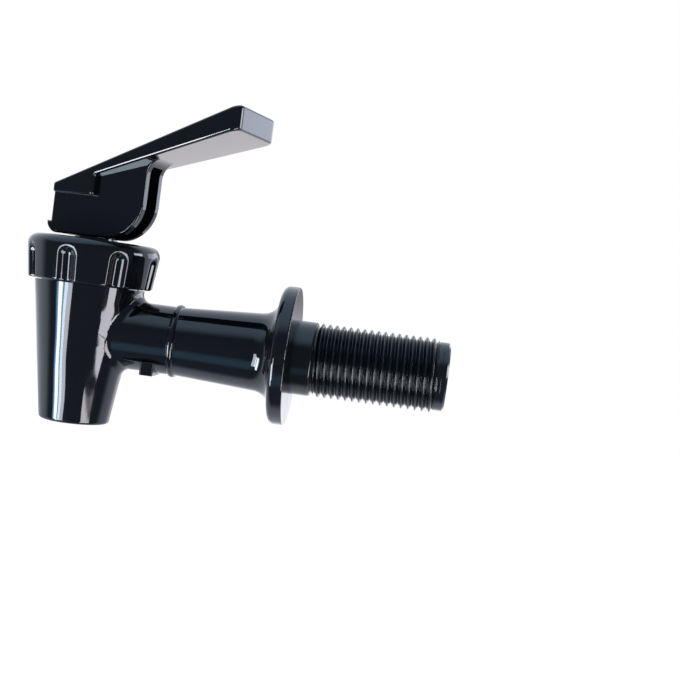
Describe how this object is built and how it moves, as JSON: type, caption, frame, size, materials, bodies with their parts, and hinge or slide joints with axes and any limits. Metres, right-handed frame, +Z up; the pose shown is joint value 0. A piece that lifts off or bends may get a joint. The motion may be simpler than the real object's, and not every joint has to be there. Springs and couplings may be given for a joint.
{
  "type": "beverage dispenser spigot",
  "caption": "Black plastic lever spigot with a self-closing valve, a screwed cap, a wall flange and a threaded shank for a drinks dispenser.",
  "frame": {"origin": "where the shank's axis meets the back face of the flange, which closes on the dispenser's wall", "axes": "+X runs along the shank towards its threaded end, +Z runs up the valve towards the lever, with the spout pointing to -Z"},
  "size_m": [0.0933, 0.0331, 0.0696],
  "materials": {
    "black_plastic": "glossy moulded",
    "white_plastic": "natural acetal",
    "silicone": "matt, slightly cloudy",
    "spring_steel": "drawn stainless wire"
  },
  "bodies": {
    "housing": {"valve_body": "black_plastic", "bonnet_cap": "black_plastic", "slip_washer": "white_plastic", "seat_cup": "silicone"},
    "swivel": {"stem_spring": "spring_steel"},
    "stem": {"valve_stem": "white_plastic"},
    "lever": {"lever_handle": "black_plastic"}
  },
  "joints": [
    {"name": "lever_swivel", "type": "hinge", "parent": "housing", "child": "swivel", "pos_m": [-0.0458, 0, 0.02], "axis": [0, 0, 1], "continuous": true},
    {"name": "stem_lift", "type": "slide", "parent": "swivel", "child": "stem", "axis": [0, 0, 1], "range_m": [0, 0.00306], "deforming": ["stem_spring", "seat_cup"]},
    {"name": "lever_tilt", "type": "hinge", "parent": "stem", "child": "lever", "pos_m": [-0.0458, 0, 0.02605], "axis": [0.2756, 0.9613, 0], "range_deg": [0, 38], "stiffness_Nm_per_rad": 0.03, "springref_deg": -74.48}
  ],
  "couplings": [
    {"joint": "stem_lift", "follows": "lever_tilt", "m_per_rad": 0.0046}
  ]
}
